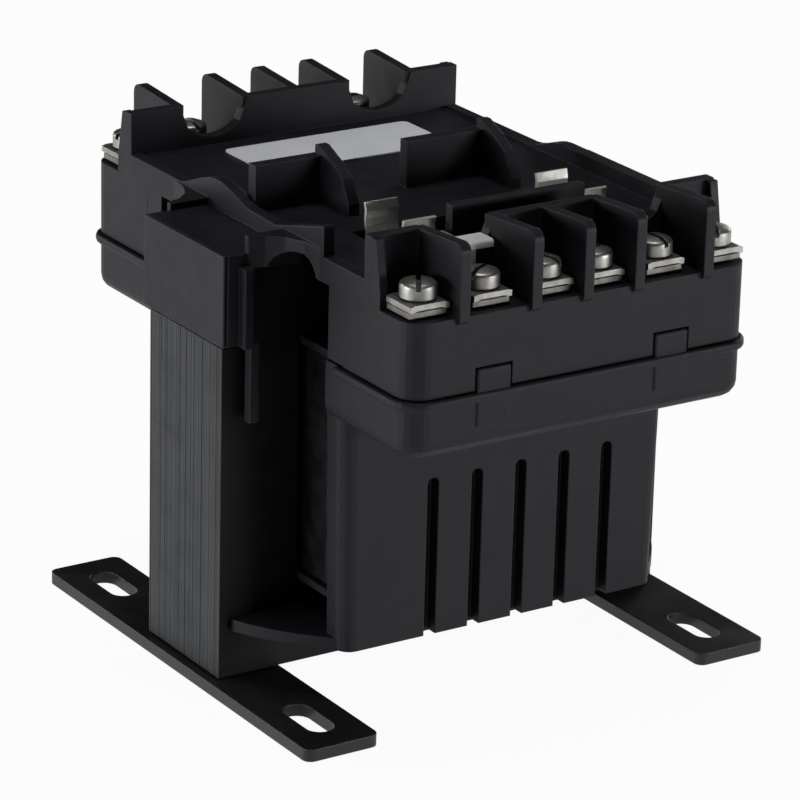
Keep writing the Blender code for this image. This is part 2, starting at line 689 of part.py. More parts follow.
def left_rim_outline():
    """Outline in Y and Z of the left side wall of the middle part: a hump, a fin and a low end."""
    points = [(-MIDDLE_END, HOOD_HOLLOW), (MIDDLE_END, HOOD_HOLLOW), (MIDDLE_END, RIM_LOW),
              (HUMP_Y + HUMP_LENGTH / 2.0, RIM_LOW)]
    for i in range(1, 12):
        t = i / 12.0
        base = RIM_LOW + (LEFT_RIM_TOP - RIM_LOW) * t
        z = base + HUMP_RISE * math.sin(math.pi * t) ** 1.5
        points.append((HUMP_Y + HUMP_LENGTH / 2.0 - HUMP_LENGTH * t, z))
    low_end = LEFT_RIM_TOP - LEFT_RIM_DROP
    points += [(-LEFT_FIN_START, LEFT_RIM_TOP), (-LEFT_FIN_END, LEFT_RIM_TOP + LEFT_FIN_RISE),
               (-LEFT_FIN_END, low_end), (-MIDDLE_END, low_end)]
    return points


def span(name, side, x0, x1, y0, y1, z0, z1):
    """Box on the left or right side, given by its distances from the middle."""
    a = side * x0
    b = side * x1
    return box(name, min(a, b), max(a, b), min(y0, y1), max(y0, y1), z0, z1)


def build_hood(side):
    """Hood over one outer leg of the core: a top with a front and a back flange."""
    top = HOOD_TOP + (HOOD_LEFT_RISE if side < 0 else 0.0)
    inner = HALF_W - HOOD_SEAT
    front = CORE_SHIFT - HOOD_FRONT
    back = CORE_SHIFT + HOOD_FRONT
    hood = span("hood", side, inner, CORE_HALF, front, back, HOOD_BOTTOM, top)
    bevel(hood, HOOD_EDGE, 2)
    hollow = span("hollow", side, inner - CUT, CORE_HALF + CUT, CORE_SHIFT - CORE_FACE - GAP,
                  CORE_SHIFT + CORE_FACE + GAP, HOOD_BOTTOM - CUT, HOOD_HOLLOW)
    opening = span("opening", side, inner - CUT, CORE_HALF - FLANGE_WIDTH, front - CUT, back + CUT,
                   HOOD_BOTTOM - CUT, HOOD_HOLLOW)
    subtract(hood, [hollow, opening])
    rib_out = CORE_HALF - FLANGE_WIDTH + RIB_WIDTH
    ribs = []
    for face, sign in ((front, -1), (back, 1)):
        ribs.append(span("rib", side, rib_out - RIB_WIDTH, rib_out, face - sign * HOOD_WALL * 0.5,
                         face + sign * RIB_REACH, HOOD_BOTTOM, HOOD_HOLLOW + HOOD_WALL * 0.6))
        ribs.append(span("latch", side, rib_out - RIB_WIDTH - RIB_STEP, rib_out - RIB_STEP,
                         face + sign * RIB_REACH * 0.1, face + sign * RIB_REACH * 0.98,
                         RIB_BOTTOM, HOOD_BOTTOM + SINK))
    return unite(hood, ribs)


def web_outline(side, face, sign):
    """Plan outline of the curved web between a block and a hood."""
    inner = HALF_W - HOOD_SEAT / 2.0
    far = face + sign * WEB_LENGTH
    points = [(side * inner, far + sign * SINK), (side * HALF_W, far + sign * SINK)]
    for i in range(5):
        angle = math.pi / 8.0 * i
        points.append((side * (HALF_W + WEB_REACH * (1.0 - math.cos(angle))),
                       far - sign * WEB_LENGTH * math.sin(angle)))
    points.append((side * (HALF_W + WEB_REACH), face - sign * SINK))
    points.append((side * inner, face - sign * SINK))
    return points


def web_top(side, sign):
    """Height of the top of one curved web; the two on the left stand higher."""
    rise = 0.0
    if side < 0:
        rise = WEB_LEFT_RISE if sign < 0 else WEB_BACK_RISE
    return HOOD_TOP + WEB_HEIGHT / 2.0 + rise


def build_arch(sign):
    """Cutter of the arch under a curved web on the left side and the wall behind it."""
    face = CORE_SHIFT + sign * HOOD_FRONT
    near = face + sign * ARCH_FOOT
    far = face + sign * (WEB_LENGTH - ARCH_FOOT)
    high = web_top(-1, sign) - WEB_LEFT_THICKNESS
    outline = rounded_outline(min(near, far), max(near, far), HOOD_TOP - CUT, high,
                              (0.0, 0.0, ARCH_RADIUS, ARCH_RADIUS), 5)
    return prism("arch", outline, -HALF_W - WEB_REACH + ARCH_MARGIN, -HALF_W + BLOCK_WALL + ARCH_MARGIN, "X")


def build_tall_wall(x_end, width):
    """Tall cross wall with a sloping fin at its right-hand end."""
    foot = FLOOR_BOTTOM + 0.3 * MM
    wall = box("tall", x_end - width, x_end, 0.0, TALL_THICKNESS, foot, TALL_TOP - TALL_STEP)
    back = TALL_THICKNESS - 0.2 * MM
    rise = TALL_TOP - FLOOR_TOP
    fin = [(back, foot), (-FIN_REACH, foot), (-FIN_REACH, FLOOR_TOP + FIN_FOOT),
           (-FIN_REACH * 0.76, FLOOR_TOP + rise * 0.6), (-FIN_REACH * 0.35, TALL_TOP - rise * 0.17),
           (FIN_REACH * 0.1, TALL_TOP), (back, TALL_TOP)]
    return unite(wall, [prism("fin", fin, x_end - FIN_THICKNESS, x_end - 0.02 * MM, "X")])


def build_middle():
    """Floor, side walls, fuse trough and tall guards between the two terminal rows."""
    body = box("floor", -HALF_W + 0.5 * MM, HALF_W - 0.5 * MM, -MIDDLE_END, MIDDLE_END,
               FLOOR_BOTTOM, FLOOR_TOP)
    half_t = TROUGH_WIDTH / 2.0
    half_l = TROUGH_LENGTH / 2.0
    trough = box("trough", -half_l - TROUGH_WALL, half_l + TROUGH_WALL,
                 -TROUGH_Y - half_t - TROUGH_WALL, -TROUGH_Y + half_t + TROUGH_WALL,
                 TROUGH_FLOOR - TROUGH_WALL, FLOOR_TOP - 0.2 * MM)
    right = prism("rim", right_rim_outline(), HALF_W - BLOCK_WALL, HALF_W - 0.01 * MM, "X")
    left = prism("rim", left_rim_outline(), -HALF_W + 0.01 * MM, -HALF_W + BLOCK_WALL, "X")
    guard_y = -TROUGH_Y - half_t - GUARD_SETBACK
    guard = box("guard", -GUARD_WIDTH / 2.0, GUARD_WIDTH / 2.0, guard_y - GUARD_THICKNESS, guard_y,
                FLOOR_BOTTOM + 0.3 * MM, GUARD_TOP)
    pieces = [trough, right, left, guard]
    pieces.append(build_tall_wall(-TALL_LEFT_END, TALL_LEFT_WIDTH))
    pieces.append(build_tall_wall(TALL_RIGHT_END, TALL_RIGHT_WIDTH))
    for side in (-1, 1):
        pieces.append(build_hood(side))
        for sign in (-1, 1):
            outline = web_outline(side, CORE_SHIFT + sign * HOOD_FRONT, sign)
            pieces.append(prism("web", outline, HOOD_TOP - WEB_HEIGHT / 2.0, web_top(side, sign), "Z"))
    unite(body, pieces)
    return subtract(body, [build_arch(-1), build_arch(1)])


def build_board(material):
    """The whole terminal board as one moulding."""
    front = build_terminal_half()
    back = turn_half(build_terminal_half())
    ties = []
    for sign in (-1, 1):
        for side in (-1, 1):
            ties.append(span("skirt", side, HALF_W - BLOCK_WALL, HALF_W - 0.03 * MM, sign * SKIRT_END,
                             sign * (BLOCK_INNER + SINK), PARTING_HEIGHT + GAP, DECK_HEIGHT + SINK))
        y0 = sign * (BLOCK_INNER + 0.01 * MM)
        y1 = sign * (INNER_WALL_Y + INNER_WALL_THICKNESS - 0.2 * MM)
        ties.append(box("tie", -HALF_W + 0.02 * MM, HALF_W - 0.02 * MM, min(y0, y1), max(y0, y1),
                        DECK_HEIGHT - SINK, FLOOR_BOTTOM + FLOOR_THICKNESS / 3.0))
    body = unite(build_middle(), [front, back] + ties)
    room = box("fuse_room", -TROUGH_LENGTH / 2.0, TROUGH_LENGTH / 2.0, -TROUGH_Y - TROUGH_WIDTH / 2.0,
               -TROUGH_Y + TROUGH_WIDTH / 2.0, TROUGH_FLOOR, FLOOR_TOP + SINK)
    subtract(body, [room])
    tidy_mesh(body)
    finish(body, "terminal_board", material)


def terminal_slots():
    """Name, place and row of each of the twelve terminals."""
    slots = []
    for row, sign in (("front", -1), ("back", 1)):
        for i, x in enumerate(TERMINAL_X):
            slots.append(("%s_%d" % (row, i + 1), x, sign * TERMINAL_Y, sign))
    return slots


def build_plate(label, x, y, sign, material):
    """Fixed terminal plate with its tapped hole; the end plates stop in front of the cheeks."""
    half = PLATE_WIDTH / 2.0
    outer = HALF_D - PLATE_SETBACK
    inner = outer - END_PLATE_LENGTH
    if abs(x) < OUTER_TERMINAL_X:
        inner = INNER_WALL_Y + INNER_WALL_THICKNESS + GAP
    body = box("plate", x - half, x + half, min(sign * outer, sign * inner),
               max(sign * outer, sign * inner), PLATE_BOTTOM, PLATE_BOTTOM + PLATE_THICKNESS)
    bevel(body, PLATE_EDGE, 1)
    hole = cylinder("hole", x, y, PLATE_BOTTOM - CUT, PLATE_BOTTOM + CUT,
                    SCREW_RADIUS + SCREW_CLEARANCE, 20)
    subtract(body, [hole])
    finish(body, "terminal_plate_" + label, material)


def saddle_outline(half):
    """Section of the saddle in X and Z with lips turned down at its two sides."""
    t = SADDLE_THICKNESS
    lip = SADDLE_LIP
    return [(-half, -lip + t * 0.3), (-half + 0.7 * MM, -lip + t * 0.3), (-half + 1.3 * MM, 0.0),
            (half - 1.3 * MM, 0.0), (half - 0.7 * MM, -lip + t * 0.3), (half, -lip + t * 0.3),
            (half, t * 0.75), (half - 0.8 * MM, t), (-half + 0.8 * MM, t), (-half, t * 0.75)]


def build_saddle(label, x, y, material):
    """Clamping saddle under the screw head."""
    half = SADDLE_SIZE / 2.0
    points = [(x + a, SADDLE_BOTTOM + b) for a, b in saddle_outline(half)]
    body = prism("saddle", points, y - half, y + half, "Y")
    hole = cylinder("hole", x, y, SADDLE_BOTTOM - CUT, SADDLE_BOTTOM + CUT,
                    SCREW_RADIUS + SCREW_CLEARANCE, 20)
    subtract(body, [hole])
    finish(body, "saddle_" + label, material, origin=(x, y, SADDLE_BOTTOM))


def build_screw(label, x, y, material):
    """Slotted pan head screw."""
    bm = bmesh.new()
    profile = [(SCREW_RADIUS, SCREW_END), (SCREW_RADIUS, HEAD_BOTTOM),
               (HEAD_RADIUS, HEAD_BOTTOM), (HEAD_RADIUS, HEAD_BOTTOM + HEAD_HEIGHT * 0.5),
               (HEAD_RADIUS * 0.93, HEAD_BOTTOM + HEAD_HEIGHT * 0.8),
               (HEAD_RADIUS * 0.74, HEAD_BOTTOM + HEAD_HEIGHT)]
    count = 20
    loops = []
    for r, z in profile:
        loop = []
        for i in range(count):
            angle = 2.0 * math.pi * i / count
            loop.append(bm.verts.new((x + r * math.cos(angle), y + r * math.sin(angle), z)))
        loops.append(loop)
    for low, high in zip(loops[:-1], loops[1:]):
        for i in range(count):
            j = (i + 1) % count
            bm.faces.new((low[i], low[j], high[j], high[i]))
    bm.faces.new(loops[0])
    bm.faces.new(loops[-1])
    body = new_object("screw", bm)
    slot = box("slot", x - HEAD_RADIUS - CUT, x + HEAD_RADIUS + CUT,
               y - HEAD_SLOT / 2.0, y + HEAD_SLOT / 2.0,
               HEAD_BOTTOM + HEAD_HEIGHT * 0.45, HEAD_BOTTOM + HEAD_HEIGHT + CUT)
    subtract(body, [slot])
    finish(body, "screw_" + label, material, origin=(x, y, HEAD_BOTTOM))


def strip_outline(points, thickness):
    """Outline of a bent strip of even thickness that follows a line of points."""
    left = []
    right = []
    for i, (a, b) in enumerate(points):
        before = points[max(i - 1, 0)]
        after = points[min(i + 1, len(points) - 1)]
        d0 = (a - before[0], b - before[1])
        d1 = (after[0] - a, after[1] - b)
        if i == 0:
            d0 = d1
        if i == len(points) - 1:
            d1 = d0
        l0 = math.hypot(d0[0], d0[1])
        l1 = math.hypot(d1[0], d1[1])
        n0 = (-d0[1] / l0, d0[0] / l0)
        n1 = (-d1[1] / l1, d1[0] / l1)
        mx = n0[0] + n1[0]
        my = n0[1] + n1[1]
        scale = thickness / 2.0 / max(0.35, (mx * n0[0] + my * n0[1]) / 2.0) / 2.0
        left.append((a + mx * scale, b + my * scale))
        right.append((a - mx * scale, b - my * scale))
    return left + right[::-1]


def build_clip(name, side, material):
    """Fuse clip with the strap that brings it over the wall from its terminal."""
    t = CLIP_THICKNESS
    r = FUSE_DIAMETER / 2.0 + t / 2.0
    cz = TROUGH_FLOOR + GAP + t + FUSE_DIAMETER / 2.0
    wrap = math.radians(CLIP_WRAP)
    lip = math.radians(CLIP_WRAP + CLIP_LIP)
    lip_y = (r + 1.4 * t) * math.cos(lip)
    lip_z = cz + (r + 1.4 * t) * math.sin(lip)
    arc = [(-TROUGH_Y + lip_y, lip_z)]
    for i in range(17):
        angle = wrap - (math.pi + 2.0 * wrap) * i / 16.0
        arc.append((-TROUGH_Y + r * math.cos(angle), cz + r * math.sin(angle)))
    arc.append((-TROUGH_Y - lip_y, lip_z))
    x = side * MIDDLE_TERMINAL_X
    half = CLIP_WIDTH / 2.0
    body = prism("clip", strip_outline(arc, t), x - half, x + half, "X")
    top = LINK_HEIGHT + t / 2.0
    start = -INNER_WALL_Y - INNER_WALL_THICKNESS - GAP - t / 2.0
    lead = PLATE_BOTTOM + PLATE_THICKNESS + GAP
    joint = -TROUGH_Y - r
    path = [(start, lead), (start, top), (joint - 5.0 * t, top), (joint - 2.0 * t, top - 1.6 * t),
            (joint + 0.1 * t, cz + 0.3 * t)]
    half -= LINK_INSET
    unite(body, [prism("strap", strip_outline(path, t), x - half, x + half, "X")])
    tidy_mesh(body)
    finish(body, name, material)


def main():
    """Build every piece of the transformer."""
    clear_scene()
    strap_paint = make_material("strap_paint", (0.018, 0.019, 0.021), 0.0, 0.45)
    core_varnish = make_material("core_varnish", (0.03, 0.032, 0.035), 0.3, 0.5)
    bobbin_nylon = make_material("bobbin_nylon", (0.02, 0.02, 0.022), 0.0, 0.6)
    copper = make_material("copper_winding", (0.5, 0.2, 0.09), 0.9, 0.4)
    tape = make_material("black_tape", (0.008, 0.008, 0.009), 0.0, 0.5)
    plastic = make_material("black_thermoplastic", (0.022, 0.023, 0.025), 0.0, 0.48)
    plated = make_material("plated_steel", (0.62, 0.6, 0.55), 1.0, 0.32)
    brass = make_material("tinned_brass", (0.66, 0.64, 0.58), 1.0, 0.3)
    build_strap("left_strap", -1, strap_paint)
    build_strap("right_strap", 1, strap_paint)
    build_core(core_varnish)
    build_bobbin(bobbin_nylon)
    build_windings(copper, tape)
    build_shroud("front_shroud", False, plastic)
    build_shroud("back_shroud", True, plastic)
    build_board(plastic)
    for label, x, y, sign in terminal_slots():
        build_plate(label, x, y, sign, brass)
        build_saddle(label, x, y, plated)
        build_screw(label, x, y, plated)
    build_clip("fuse_clip_left", -1, brass)
    build_clip("fuse_clip_right", 1, brass)


main()
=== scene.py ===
"""Looks of the control transformer: camera, light, floor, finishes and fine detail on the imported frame."""
import math
import random

import bmesh
import bpy
from mathutils import Matrix, Vector


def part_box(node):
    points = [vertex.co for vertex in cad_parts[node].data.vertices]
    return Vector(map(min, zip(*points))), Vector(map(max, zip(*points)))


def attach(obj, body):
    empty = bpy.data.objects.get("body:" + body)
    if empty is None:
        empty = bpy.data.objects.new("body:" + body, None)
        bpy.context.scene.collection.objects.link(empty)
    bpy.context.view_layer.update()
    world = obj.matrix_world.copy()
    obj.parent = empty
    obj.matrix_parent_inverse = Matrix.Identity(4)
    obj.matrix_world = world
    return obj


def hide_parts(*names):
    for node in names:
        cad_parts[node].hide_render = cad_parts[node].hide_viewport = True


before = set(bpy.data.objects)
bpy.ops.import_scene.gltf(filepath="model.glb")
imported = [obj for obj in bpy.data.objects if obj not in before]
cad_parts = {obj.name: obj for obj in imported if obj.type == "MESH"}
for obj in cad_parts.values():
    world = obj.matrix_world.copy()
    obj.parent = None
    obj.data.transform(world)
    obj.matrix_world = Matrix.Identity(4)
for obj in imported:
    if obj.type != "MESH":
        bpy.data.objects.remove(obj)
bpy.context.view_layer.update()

MM = 0.001

# Camera, fitted to the outline in the photograph. Angles in radians, lengths in metres.
CAMERA_AZIMUTH = -0.579738
CAMERA_ELEVATION = 0.352259
CAMERA_ROLL = 0.025892
CAMERA_DISTANCE = 0.715964
CAMERA_TARGET = (-0.000431, 0.001506, 0.038565)
CAMERA_LENS = 193.189
SENSOR = 36.0
CAMERA_CLIP = (0.01, 20.0)

# Soft lamps: place, width and height in metres, power in watts. All but the top one stand low, which
# keeps flat tops dark, as in the photograph.
LAMPS = (
    ("lamp_left", (-1.12, 0.22, 0.14), (0.6, 0.24), 7.0),
    ("lamp_front", (0.62, -0.95, 0.14), (0.6, 0.24), 6.0),
    ("lamp_top", (0.0, 0.0, 1.25), (0.5, 0.5), 5.5),
    ("lamp_back", (-0.6, 1.0, 0.25), (0.6, 0.3), 3.0),
    ("lamp_right", (1.0, 0.45, 0.30), (0.6, 0.3), 3.0),
)
LAMP_AIM = (0.0, 0.0, 0.045)

# Light of the room at the horizon and above, and the heights of direction between which it falls.
SKY_LOW = 0.16
SKY_HIGH = 0.03
SKY_FADE = (0.0, 0.5)
MIRROR_FADE = (0.02, 0.2)

# Pale floor just below the straps, and how much of its white is shown whatever the light.
FLOOR_HALF = 3.0
FLOOR_DROP = 0.2 * MM
FLOOR_GREY = 0.86
FLOOR_ROUGHNESS = 0.9
FLOOR_SHOWN = 0.95

# Angle in degrees above which an edge stays sharp, and the seed of every random draw.
SMOOTH_ANGLE = 35.0
DRAW_SEED = 7

# Terminal screws: slotted head over a threaded shank, one in each place of the two rows.
TERMINAL_COUNT = 6
HEAD_RADIUS = 2.95 * MM
HEAD_ROUND = 0.7 * MM
HEAD_CROWN = 0.35 * MM
CROWN_SHARE = 0.5
HEAD_STEPS = 4
HEAD_GAP = 0.3 * MM
SLOT_WIDTH = 0.8 * MM
SLOT_DEPTH = 1.3 * MM
SCREW_SEGMENTS = 32
SHANK_RADIUS = 1.72 * MM
THREAD_PITCH = 0.794 * MM
THREAD_DEPTH = 0.3 * MM
THREAD_STEPS = 6
TIP_SHARE = 0.72
CUT = 0.5 * MM

# Laminated core: the sheets of the two stacks. A scrapless E is six legs wide, its middle leg being two.
SHEET_COUNT = 45
LEGS_ACROSS = 6.0
SHEET_GAP = 0.04 * MM
SHEET_SHIFT = 0.05 * MM
SHEET_EDGE = 0.06 * MM
SHEET_TONE_STEP = 0.5 * MM

# Thin end skins that close the hoods over the core's ends.
HOOD_REACH = 1.3 * MM
HOOD_BOTTOM = 59.5 * MM
HOOD_LEFT_TOP = 74.8 * MM
HOOD_RIGHT_TOP = 73.1 * MM
SKIN_GAP = 0.08 * MM
SKIN_THICKNESS = 0.5 * MM
SKIN_EDGE = 0.2 * MM

# Bright cover over the left link, where it crosses the dip in the inner wall.
COVER_X = (-18.9 * MM, -11.2 * MM)
COVER_Y = (-40.3 * MM, -35.9 * MM)
COVER_TOP = 80.5 * MM
COVER_THICKNESS = 0.5 * MM
COVER_BEND = 0.7 * MM
COVER_STEPS = 6

# Blank label on the middle floor.
LABEL_X = (-17.0 * MM, 19.2 * MM)
LABEL_Y = (17.6 * MM, 32.2 * MM)
LABEL_Z = 76.0 * MM
LABEL_LIFT = 0.05 * MM
LABEL_THICKNESS = 0.25 * MM
LABEL_CORNER = 1.2 * MM
LABEL_STEPS = 8

# Finishes: the base colour, the tone that clouds it and, where edges are rubbed, the tone of those edges.
PLASTIC = ((0.009, 0.0095, 0.013), (0.013, 0.014, 0.019), (0.05, 0.052, 0.056))
NYLON = ((0.012, 0.012, 0.013), (0.018, 0.018, 0.019), (0.04, 0.04, 0.042))
PAINT = ((0.007, 0.007, 0.008), (0.014, 0.014, 0.015), (0.09, 0.09, 0.092))
PAINT_SCUFF = (0.07, 0.07, 0.072)
SHEETS = ((0.028, 0.031, 0.036), (0.040, 0.044, 0.050), (0.085, 0.085, 0.087))
SHEET_STAIN = (0.018, 0.019, 0.021)
# Near-black tone of the sheets' flat sides: painted shade.
SHEET_FLAT_SHADE = ((0.005, 0.005, 0.006), (0.011, 0.011, 0.012))
COPPER = ((0.35, 0.12, 0.05), (0.52, 0.21, 0.09))
TAPE = ((0.005, 0.005, 0.006), (0.012, 0.012, 0.013))
LABEL_FILM = ((0.88, 0.90, 0.93), (0.93, 0.94, 0.95))
ZINC = ((0.34, 0.333, 0.315), (0.22, 0.215, 0.20))
TIN = ((0.72, 0.71, 0.68), (0.56, 0.55, 0.51))
# Darker copy of the tin for the terminal plates: painted shade.
SHADED_TIN = ((0.22, 0.21, 0.19), (0.13, 0.125, 0.11))
BRIGHT_PLATE = ((0.92, 0.92, 0.91), (0.80, 0.80, 0.79))

# Cosines between which a bevelled normal counts as an edge, and a face as one of a sheet's flat sides.
EDGE_COSINES = (0.985, 0.85)
FLAT_COSINES = (0.85, 0.95)

# Range that most of a noise's values fill, and the part of it over which clouds fade.
NOISE_RANGE = (0.3, 0.7)
CLOUD_RANGE = (0.35, 0.7)


# Node helpers

def new_material(name):
    """An empty node material with its shader and output."""
    mat = bpy.data.materials.new(name)
    mat.use_nodes = True
    tree = mat.node_tree
    shader = tree.nodes["Principled BSDF"]
    return mat, tree, shader


def node(tree, kind, **settings):
    """Add a node and set its properties, or its inputs by their names with spaces as underscores."""
    item = tree.nodes.new(kind)
    for key, value in settings.items():
        if hasattr(item, key):
            setattr(item, key, value)
        else:
            item.inputs[key.replace("_", " ")].default_value = value
    return item


def position(tree):
    """Place in the frame, in metres, on any piece."""
    return node(tree, "ShaderNodeTexCoord").outputs["Object"]


def noise(tree, place, scale, detail=3.0, roughness=0.55):
    """Noise of a given scale; 1000 is about a millimetre across."""
    item = node(tree, "ShaderNodeTexNoise", Scale=scale, Detail=detail, Roughness=roughness)
    tree.links.new(place, item.inputs["Vector"])
    return item.outputs["Fac"]


def remap(tree, value, low, high, to_low, to_high):
    """Map a range of values to another, held at its ends."""
    item = node(tree, "ShaderNodeMapRange")
    for key, number in (("From Min", low), ("From Max", high), ("To Min", to_low), ("To Max", to_high)):
        item.inputs[key].default_value = number
    tree.links.new(value, item.inputs["Value"])
    return item.outputs["Result"]


def mix_color(tree, factor, first, second):
    """Blend two colours, each a tuple or an output, by a factor."""
    item = node(tree, "ShaderNodeMix", data_type="RGBA")
    tree.links.new(factor, item.inputs["Factor"])
    for socket, value in ((item.inputs[6], first), (item.inputs[7], second)):
        if isinstance(value, tuple):
            socket.default_value = (value[0], value[1], value[2], 1.0)
        else:
            tree.links.new(value, socket)
    return item.outputs[2]


def spread(tree, cloud, to_low, to_high):
    """Spread a noise's usual range over two values."""
    return remap(tree, cloud, *NOISE_RANGE, to_low, to_high)


def clouded(tree, cloud, first, second):
    """Two colours in soft patches that follow a noise."""
    return mix_color(tree, remap(tree, cloud, *CLOUD_RANGE, 0.0, 1.0), first, second)


def math_node(tree, operation, first, second):
    """One arithmetic step on outputs or numbers."""
    item = node(tree, "ShaderNodeMath", operation=operation)
    for socket, value in ((item.inputs[0], first), (item.inputs[1], second)):
        if isinstance(value, (int, float)):
            socket.default_value = value
        else:
            tree.links.new(value, socket)
    return item.outputs[0]


def bump(tree, height, distance, strength, normal=None):
    """Bump from a height, over another normal if one is given."""
    item = node(tree, "ShaderNodeBump", Strength=strength, Distance=distance)
    tree.links.new(height, item.inputs["Height"])
    if normal is not None:
        tree.links.new(normal, item.inputs["Normal"])
    return item.outputs["Normal"]


def soft_edge(tree, radius):
    """Normal that rounds sharp edges over a radius, and a mask that is high along those edges."""
    bevel = node(tree, "ShaderNodeBevel", samples=6, Radius=radius)
    sharp = node(tree, "ShaderNodeNewGeometry").outputs["Normal"]
    dot = node(tree, "ShaderNodeVectorMath", operation="DOT_PRODUCT")
    tree.links.new(bevel.outputs["Normal"], dot.inputs[0])
    tree.links.new(sharp, dot.inputs[1])
    mask = remap(tree, dot.outputs["Value"], *EDGE_COSINES, 0.0, 1.0)
    return bevel.outputs["Normal"], mask


# Finishes

def moulded_plastic(name, base, lighter, worn, grain):
    """Moulded black plastic: fine grain, cloudy sheen, edges a little rubbed."""
    mat, tree, shader = new_material(name)
    place = position(tree)
    cloud = noise(tree, place, 60.0, 4.0)
    fine = noise(tree, place, 2600.0, 2.0)
    flow = noise(tree, place, 260.0, 3.0)
    normal, edge = soft_edge(tree, 0.35 * MM)
    color = clouded(tree, cloud, base, lighter)
    rub = math_node(tree, "MULTIPLY", edge, remap(tree, flow, 0.35, 0.65, 0.25, 1.0))
    color = mix_color(tree, rub, color, worn)
    tree.links.new(color, shader.inputs["Base Color"])
    rough = math_node(tree, "ADD", spread(tree, cloud, 0.46, 0.56), spread(tree, flow, -0.04, 0.05))
    tree.links.new(rough, shader.inputs["Roughness"])
    normal = bump(tree, fine, grain, 0.5, normal)
    normal = bump(tree, flow, 0.06 * MM, 0.35, normal)
    tree.links.new(normal, shader.inputs["Normal"])
    shader.inputs["Specular IOR Level"].default_value = 0.2
    return mat


def painted_steel(name):
    """Black paint on steel strap: orange peel, light scuffs, edges where the coat is thin."""
    mat, tree, shader = new_material(name)
    place = position(tree)
    peel = noise(tree, place, 900.0, 2.0)
    cloud = noise(tree, place, 90.0, 4.0)
    stretched = node(tree, "ShaderNodeMapping")
    stretched.inputs["Scale"].default_value = (1.0, 0.08, 1.0)
    tree.links.new(place, stretched.inputs["Vector"])
    scuff = noise(tree, stretched.outputs["Vector"], 3500.0, 2.0)
    normal, edge = soft_edge(tree, 0.3 * MM)
    base, lighter, worn = PAINT
    color = clouded(tree, cloud, base, lighter)
    marks = remap(tree, scuff, 0.68, 0.8, 0.0, 0.5)
    color = mix_color(tree, marks, color, PAINT_SCUFF)
    color = mix_color(tree, math_node(tree, "MULTIPLY", edge, 0.8), color, worn)
    tree.links.new(color, shader.inputs["Base Color"])
    tree.links.new(spread(tree, cloud, 0.34, 0.48), shader.inputs["Roughness"])
    shader.inputs["Specular IOR Level"].default_value = 0.35
    normal = bump(tree, peel, 0.05 * MM, 0.5, normal)
    tree.links.new(normal, shader.inputs["Normal"])
    return mat


def varnished_core(name):
    """Steel sheets: grey cut edges, each sheet a little different, and flat sides painted near black as
    shade.
    """
    mat, tree, shader = new_material(name)
    place = position(tree)
    cloud = noise(tree, place, 120.0, 4.0)
    split = node(tree, "ShaderNodeSeparateXYZ")
    tree.links.new(place, split.inputs["Vector"])
    across = math_node(tree, "DIVIDE", split.outputs["Y"], SHEET_TONE_STEP)
    sheet = math_node(tree, "FLOOR", across, 0.0)
    tone = node(tree, "ShaderNodeTexWhiteNoise", noise_dimensions="1D")
    tree.links.new(sheet, tone.inputs["W"])
    normal, edge = soft_edge(tree, 0.25 * MM)
    base, lighter, worn = SHEETS
    color = mix_color(tree, tone.outputs["Value"], base, lighter)
    color = mix_color(tree, remap(tree, cloud, 0.5, 0.75, 0.0, 0.6), color, SHEET_STAIN)
    color = mix_color(tree, math_node(tree, "MULTIPLY", edge, 0.5), color, worn)
    facing = node(tree, "ShaderNodeSeparateXYZ")
    surface = node(tree, "ShaderNodeNewGeometry")
    tree.links.new(surface.outputs["True Normal"], facing.inputs["Vector"])
    turned = math_node(tree, "ABSOLUTE", facing.outputs["Y"], 0.0)
    flat = remap(tree, turned, *FLAT_COSINES, 0.0, 1.0)
    # Flat sides of the sheets take a near-black tone: painted shade.
    color = mix_color(tree, flat, color, clouded(tree, cloud, *SHEET_FLAT_SHADE))
    tree.links.new(color, shader.inputs["Base Color"])
    tree.links.new(spread(tree, cloud, 0.38, 0.55), shader.inputs["Roughness"])
    tree.links.new(remap(tree, flat, 0.0, 1.0, 0.25, 0.12), shader.inputs["Specular IOR Level"])
    tree.links.new(bump(tree, cloud, 0.15 * MM, 0.3, normal), shader.inputs["Normal"])
    return mat


def plated_metal(name, base, dull, roughness, metallic=1.0):
    """Bright plated metal with faint cloudiness and short fine scratches."""
    mat, tree, shader = new_material(name)
    place = position(tree)
    cloud = noise(tree, place, 500.0, 4.0)
    fine = noise(tree, place, 6000.0, 2.0)
    stretched = node(tree, "ShaderNodeMapping")
    stretched.inputs["Scale"].default_value = (1.0, 0.12, 1.0)
    tree.links.new(place, stretched.inputs["Vector"])
    scratch = noise(tree, stretched.outputs["Vector"], 9000.0, 2.0)
    normal = soft_edge(tree, 0.12 * MM)[0]
    color = clouded(tree, cloud, base, dull)
    tree.links.new(color, shader.inputs["Base Color"])
    shader.inputs["Metallic"].default_value = metallic
    rough = math_node(tree, "ADD", spread(tree, cloud, roughness, roughness + 0.14),
                      remap(tree, scratch, 0.55, 0.75, 0.0, 0.12))
    tree.links.new(rough, shader.inputs["Roughness"])
    normal = bump(tree, fine, 0.01 * MM, 0.4, normal)
    normal = bump(tree, scratch, 0.01 * MM, 0.4, normal)
    tree.links.new(normal, shader.inputs["Normal"])
    return mat


def copper_wire(name):
    """Enamelled wire laid round the coil, in level turns."""
    mat, tree, shader = new_material(name)
    place = position(tree)
    cloud = noise(tree, place, 300.0, 3.0)
    wave = node(tree, "ShaderNodeTexWave", bands_direction="Z", Scale=520.0, Distortion=0.4)
    tree.links.new(place, wave.inputs["Vector"])
    color = mix_color(tree, spread(tree, cloud, 0.0, 1.0), *COPPER)
    tree.links.new(color, shader.inputs["Base Color"])
    shader.inputs["Metallic"].default_value = 0.85
    tree.links.new(spread(tree, cloud, 0.28, 0.4), shader.inputs["Roughness"])
    tree.links.new(bump(tree, wave.outputs["Fac"], 0.2 * MM, 0.8), shader.inputs["Normal"])
    return mat


